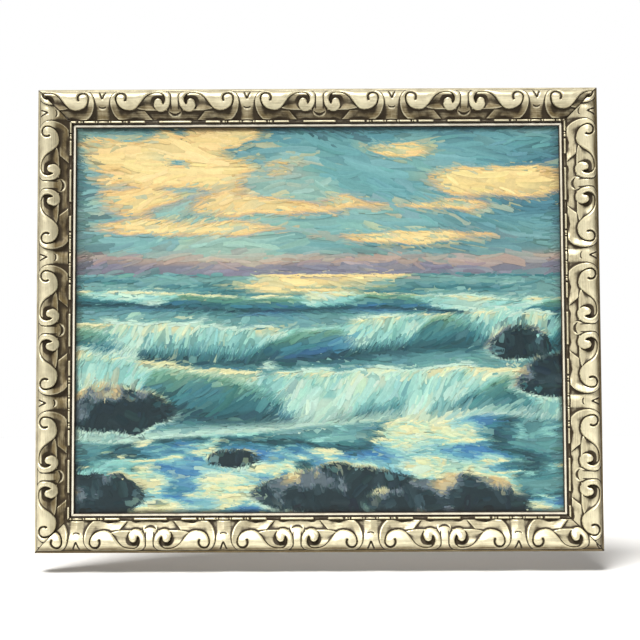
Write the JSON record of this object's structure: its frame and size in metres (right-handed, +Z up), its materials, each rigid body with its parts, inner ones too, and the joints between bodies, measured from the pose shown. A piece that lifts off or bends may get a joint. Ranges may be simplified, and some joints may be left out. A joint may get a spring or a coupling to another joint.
{
  "type": "framed oil painting",
  "caption": "Oil painting on stretched canvas in a silver-gilt scroll-carved frame with a plain inner slip, hung from a sawtooth strip on its back.",
  "frame": {"origin": "centre of the flat back of the sawtooth hanger, in the plane of the wall", "axes": "+X to the right along the picture's width, +Y into the wall, +Z up; the painting faces -Y"},
  "size_m": [0.862, 0.0433, 0.7096],
  "materials": {
    "silver_gilt_carving": "champagne silver leaf over gesso on wood, umber glaze left in the recesses",
    "slip_gilt": "pale silver leaf, lightly worn",
    "stretcher_pine": "bare planed pine",
    "painted_canvas": "oil paint on primed cotton canvas, satin varnish, bare cloth behind",
    "hanger_steel": "zinc plated",
    "nail_steel": "bright steel gone dull"
  },
  "bodies": {
    "root": {"rail_top": "silver_gilt_carving", "rail_right": "silver_gilt_carving", "rail_bottom": "silver_gilt_carving", "rail_left": "silver_gilt_carving", "slip_top": "slip_gilt", "slip_right": "slip_gilt", "slip_bottom": "slip_gilt", "slip_left": "slip_gilt", "stretcher_top": "stretcher_pine", "stretcher_right": "stretcher_pine", "stretcher_bottom": "stretcher_pine", "stretcher_left": "stretcher_pine", "canvas": "painted_canvas", "hanger": "hanger_steel", "hanger_nail_left": "nail_steel", "hanger_nail_right": "nail_steel"}
  },
  "joints": []
}
